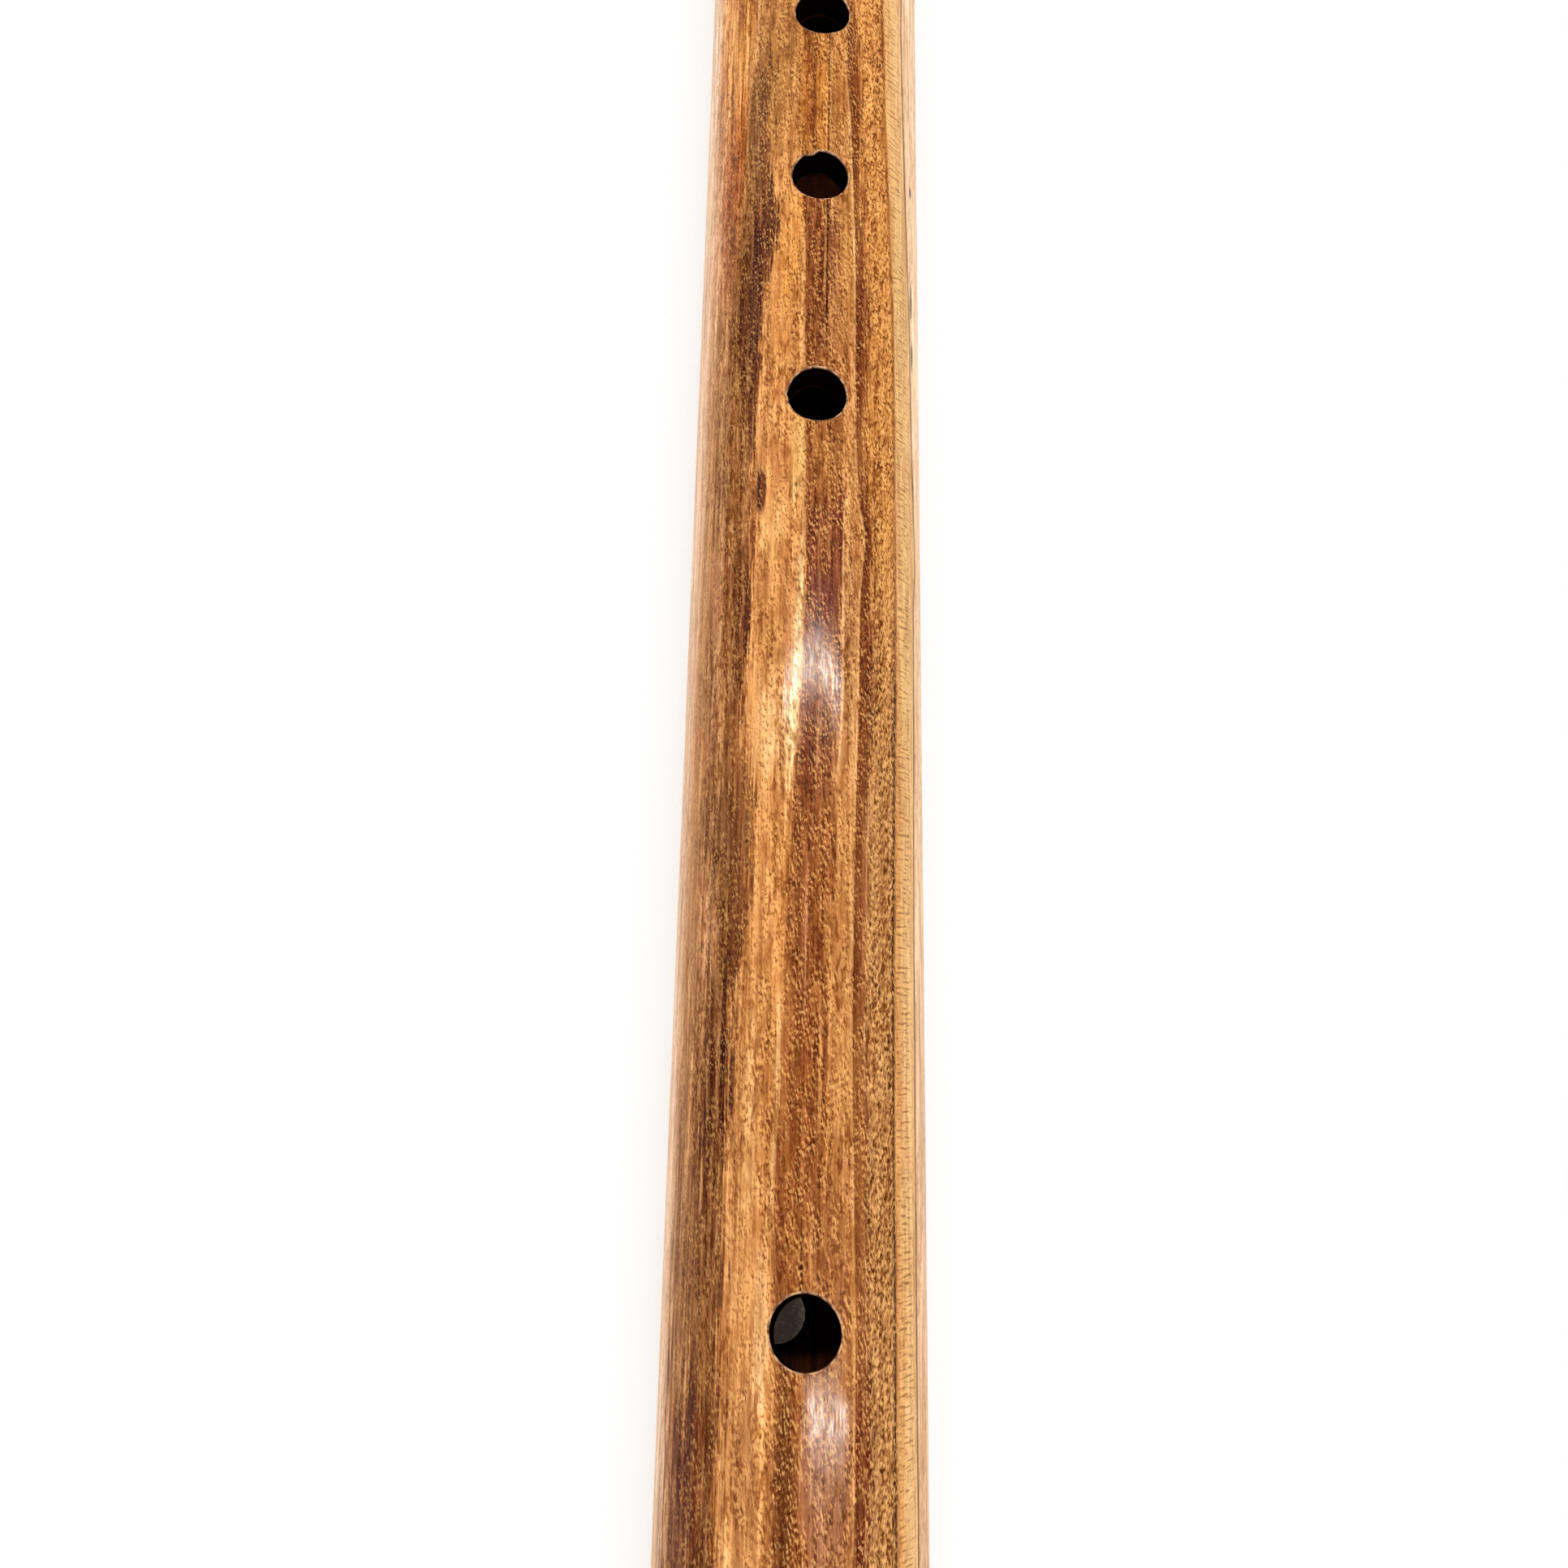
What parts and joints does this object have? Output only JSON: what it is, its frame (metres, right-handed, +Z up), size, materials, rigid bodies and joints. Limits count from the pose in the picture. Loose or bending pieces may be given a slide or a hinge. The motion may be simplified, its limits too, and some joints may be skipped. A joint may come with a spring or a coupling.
{
  "type": "didgeridoo",
  "caption": "Straight wooden didgeridoo with finger holes and a thumb hole, hollowed half shells glued lengthwise, a moulded beeswax mouthpiece and a gently flared bell.",
  "frame": {"origin": "on the floor under the middle of the instrument's length", "axes": "+X along the tube from mouth to bell, +Y across, +Z up through the finger holes; the tube lies on its bell rim and wax ring, so its axis rises by a third of a degree towards the bell"},
  "size_m": [1.2095, 0.06, 0.0599],
  "materials": {
    "varnished_wood": "glossy clear varnish over streaky golden-brown wood",
    "beeswax": "hand-moulded satin beeswax"
  },
  "bodies": {
    "root": {"front_half_shell": "varnished_wood", "back_half_shell": "varnished_wood", "beeswax_mouthpiece": "beeswax"}
  },
  "joints": []
}
